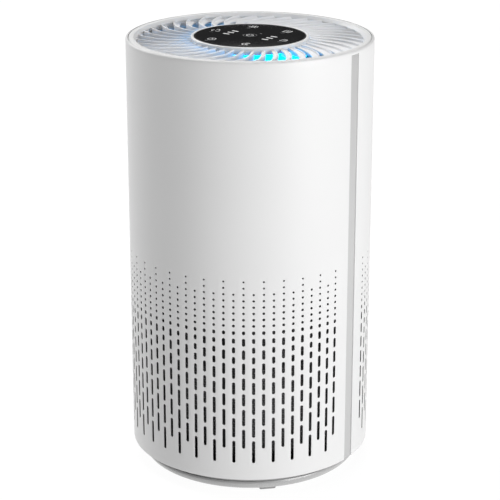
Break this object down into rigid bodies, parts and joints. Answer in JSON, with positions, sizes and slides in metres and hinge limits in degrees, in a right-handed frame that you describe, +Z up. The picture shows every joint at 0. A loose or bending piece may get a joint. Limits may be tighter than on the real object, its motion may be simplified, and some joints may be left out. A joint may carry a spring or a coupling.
{
  "type": "air purifier",
  "caption": "Round tower air purifier with perforated intake shells, a vane ring outlet and a touch panel on top, a cylindrical filter, a fan and a twist-off base.",
  "frame": {"origin": "on the floor under the body's axis", "axes": "+Z up along the body's axis, -Y towards the front, +X to the right seen from the front"},
  "size_m": [0.205, 0.205, 0.3707],
  "materials": {
    "shell_white": "satin",
    "trim_grey": "satin",
    "grille_white": "satin",
    "base_grey": "satin",
    "panel_black": "polished",
    "icon_print": "printed",
    "light_guide": "glowing",
    "inner_plastic": "matt",
    "duct_plastic": "matt",
    "board_green": "solder resist",
    "plain_steel": "zinc plated",
    "copper_wire": "enamelled wire",
    "magnet": "sintered",
    "impeller_white": "satin",
    "socket_black": "matt",
    "lead_black": "matt",
    "filter_paper": "pleated",
    "filter_charcoal": "granular",
    "filter_mesh": "woven",
    "filter_cap": "matt",
    "seal_foam": "foam",
    "webbing": "woven",
    "foot_rubber": "matt"
  },
  "bodies": {
    "housing": {"front_shell": "shell_white", "rear_shell": "shell_white", "seam_trim_left": "trim_grey", "seam_trim_right": "trim_grey", "top_ring": "shell_white", "outlet_grille": "grille_white", "panel_bezel": "shell_white", "panel_glass": "panel_black", "icon_film": "icon_print", "panel_cup": "inner_plastic", "touch_board": "board_green", "touch_springs": "plain_steel", "light_ring": "light_guide", "led_board": "board_green", "hub_column": "duct_plastic", "power_board": "board_green", "air_duct": "duct_plastic", "duct_screws": "plain_steel", "fan_deck": "inner_plastic", "inlet_guard": "inner_plastic", "inlet_nozzle": "inner_plastic", "motor_mount": "duct_plastic", "mount_screws": "plain_steel", "motor_stator": "plain_steel", "motor_windings": "copper_wire", "lower_bearing": "plain_steel", "upper_bearing": "plain_steel", "filter_cage": "inner_plastic", "base_ring": "inner_plastic", "shell_screws": "plain_steel", "power_inlet": "socket_black", "inlet_pins": "plain_steel", "power_lead": "lead_black", "filter_media": "filter_paper", "filter_carbon": "filter_charcoal", "filter_sleeve": "filter_mesh", "filter_top_cap": "filter_cap", "filter_bottom_cap": "filter_cap", "filter_gasket": "seal_foam", "filter_tab": "webbing"},
    "fan": {"fan_impeller": "impeller_white", "motor_rotor": "plain_steel", "rotor_magnets": "magnet", "motor_shaft": "plain_steel", "impeller_nut": "plain_steel"},
    "cover": {"base_cover": "base_grey", "foot_front_right": "foot_rubber", "foot_rear_right": "foot_rubber", "foot_rear_left": "foot_rubber", "foot_front_left": "foot_rubber"}
  },
  "joints": [
    {"name": "fan_spin", "type": "hinge", "parent": "housing", "child": "fan", "pos_m": [0, 0, 0.24], "axis": [0, 0, 1], "continuous": true},
    {"name": "cover_twist", "type": "hinge", "parent": "housing", "child": "cover", "pos_m": [0, 0, 0.016], "axis": [0, 0, 1], "range_deg": [0, 18]}
  ]
}
